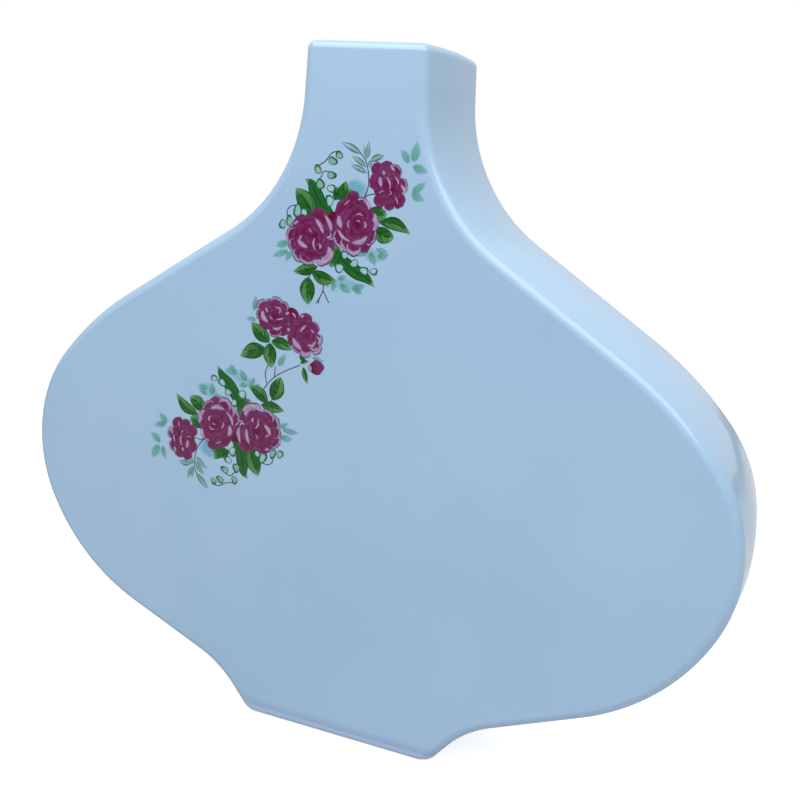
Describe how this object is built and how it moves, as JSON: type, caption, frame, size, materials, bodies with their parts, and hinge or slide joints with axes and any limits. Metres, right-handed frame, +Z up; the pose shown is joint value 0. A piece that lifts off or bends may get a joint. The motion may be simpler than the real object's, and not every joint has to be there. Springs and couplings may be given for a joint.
{
  "type": "pillow vase",
  "caption": "Flat onion-shaped glazed porcelain vase with a narrow open neck, a small oblong foot and rose sprays fired on its front face.",
  "frame": {"origin": "middle of the foot, on the surface that the vase stands on, at the parting line between the two halves", "axes": "+Z up, -Y out of the face that carries the transfers, +X to the right of someone facing it"},
  "size_m": [0.2372, 0.0434, 0.215],
  "materials": {
    "porcelain": "clear glossy glaze over white porcelain, with a pale blue cast",
    "rose_enamel": "fired crimson overglaze enamel, glossy",
    "leaf_enamel": "fired green overglaze enamel, glossy",
    "pale_enamel": "thin fired mint overglaze enamel, glossy"
  },
  "bodies": {
    "root": {"front_shell": "porcelain", "back_shell": "porcelain", "upper_spray_roses": "rose_enamel", "upper_spray_leaves": "leaf_enamel", "upper_spray_tint": "pale_enamel", "middle_sprig_roses": "rose_enamel", "middle_sprig_leaves": "leaf_enamel", "middle_sprig_tint": "pale_enamel", "lower_spray_roses": "rose_enamel", "lower_spray_leaves": "leaf_enamel", "lower_spray_tint": "pale_enamel"}
  },
  "joints": []
}
